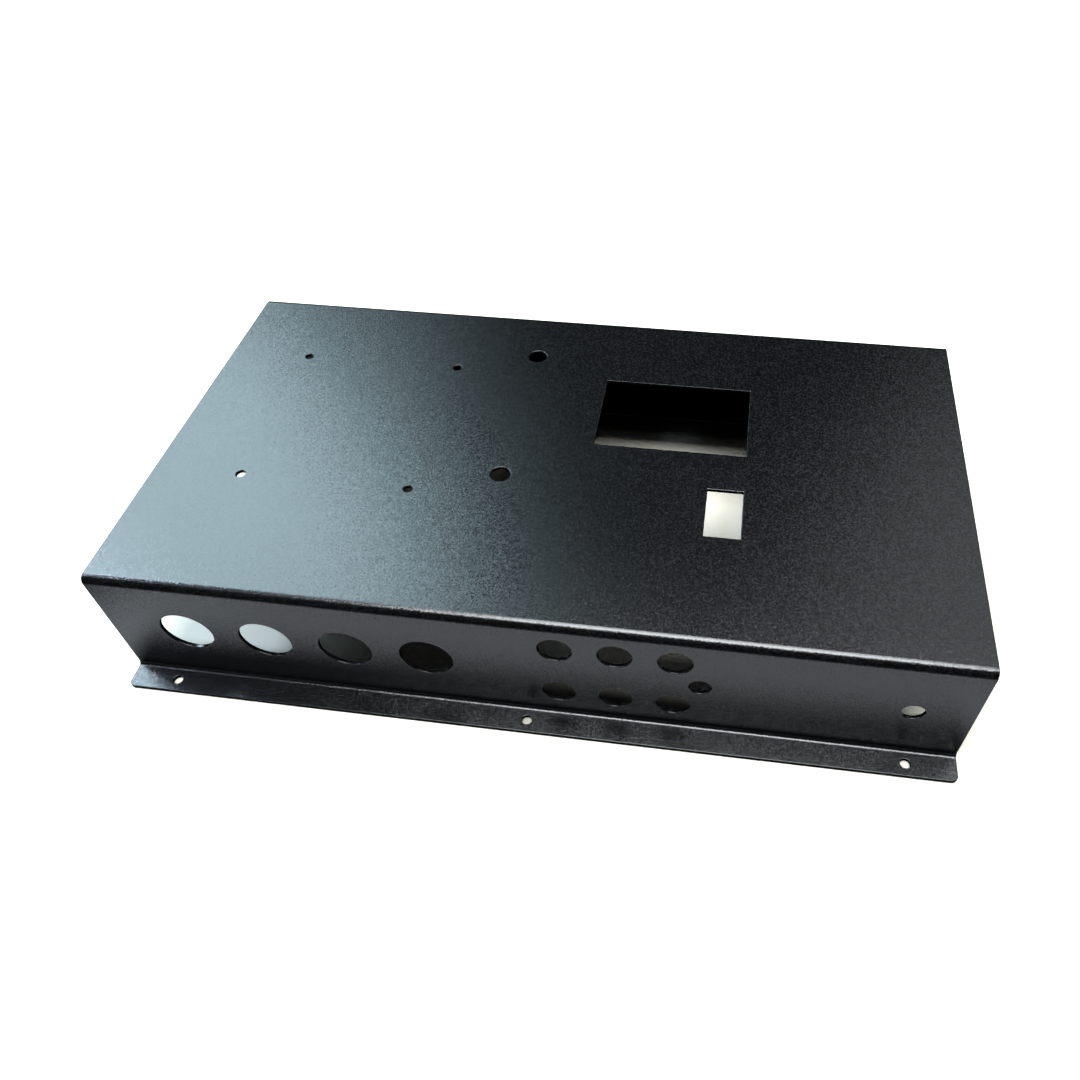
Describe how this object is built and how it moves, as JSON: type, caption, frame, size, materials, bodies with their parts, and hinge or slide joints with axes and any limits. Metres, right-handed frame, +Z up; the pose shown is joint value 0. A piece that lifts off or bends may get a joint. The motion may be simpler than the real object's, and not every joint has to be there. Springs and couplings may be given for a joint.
{
  "type": "sheet metal chassis",
  "caption": "Hat-section sheet metal chassis with open ends, outward foot flanges, round panel holes and rectangular windows.",
  "frame": {"origin": "middle of the footprint, on the standing plane under the flanges", "axes": "+X along the folds to the right seen from the front, +Y from the front wall to the back wall, +Z up"},
  "size_m": [0.3, 0.185, 0.052],
  "materials": {
    "powder_coat": "fine-texture satin powder coat"
  },
  "bodies": {
    "root": {"chassis": "powder_coat"}
  },
  "joints": []
}
